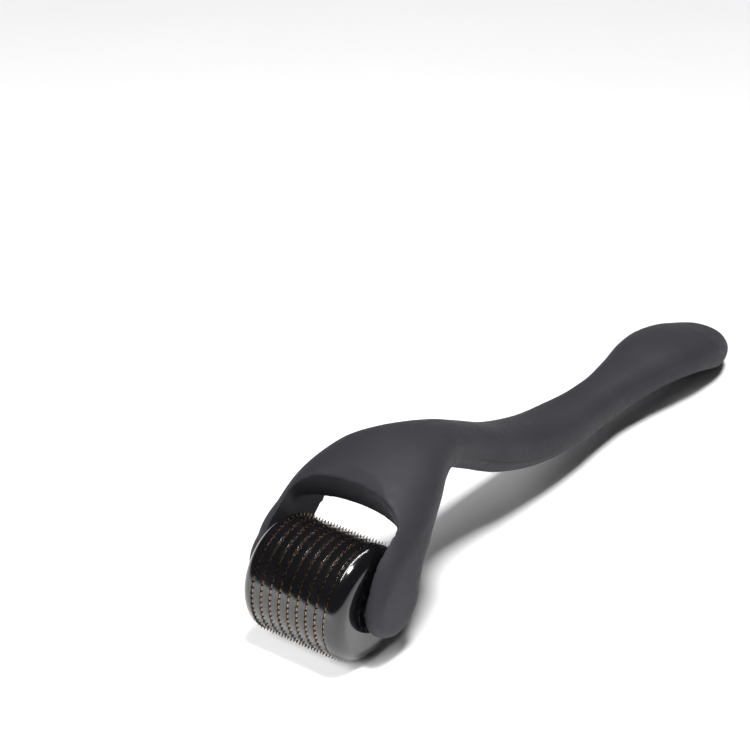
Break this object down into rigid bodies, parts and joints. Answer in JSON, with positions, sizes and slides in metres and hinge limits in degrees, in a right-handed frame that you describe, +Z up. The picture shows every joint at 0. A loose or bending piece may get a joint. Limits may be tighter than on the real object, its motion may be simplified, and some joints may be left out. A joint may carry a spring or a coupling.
{
  "type": "derma roller",
  "caption": "Hand-held derma roller: a free-spinning needle drum held in the fork of a curved plastic handle.",
  "frame": {"origin": "middle of the roller's length, on the floor plane that the drum and the tail's flat stand on", "axes": "+X from the drum to the tail along the handle, +Y to the roller's left along the drum's axle, +Z up"},
  "size_m": [0.1518, 0.0286, 0.0314],
  "materials": {
    "handle": "satin moulded black ABS, very fine texture",
    "drum_plastic": "polished black plastic",
    "needles": "etched steel with a warm gold-bronze titanium coating"
  },
  "bodies": {
    "handle": {"handle_upper_shell": "handle", "handle_lower_shell": "handle"},
    "drum": {"drum_hub": "drum_plastic", "needle_disc_1": "needles", "needle_disc_2": "needles", "needle_disc_3": "needles", "needle_disc_4": "needles", "needle_disc_5": "needles", "needle_disc_6": "needles", "needle_disc_7": "needles", "needle_disc_8": "needles", "needle_disc_9": "needles", "spacer_ring_1": "drum_plastic", "spacer_ring_2": "drum_plastic", "spacer_ring_3": "drum_plastic", "spacer_ring_4": "drum_plastic", "spacer_ring_5": "drum_plastic", "spacer_ring_6": "drum_plastic", "spacer_ring_7": "drum_plastic", "spacer_ring_8": "drum_plastic", "end_cap_left": "drum_plastic", "end_cap_right": "drum_plastic"}
  },
  "joints": [
    {"name": "drum_spin", "type": "hinge", "parent": "handle", "child": "drum", "pos_m": [-0.06507, 0, 0.01085], "axis": [0, 1, 0], "continuous": true}
  ]
}
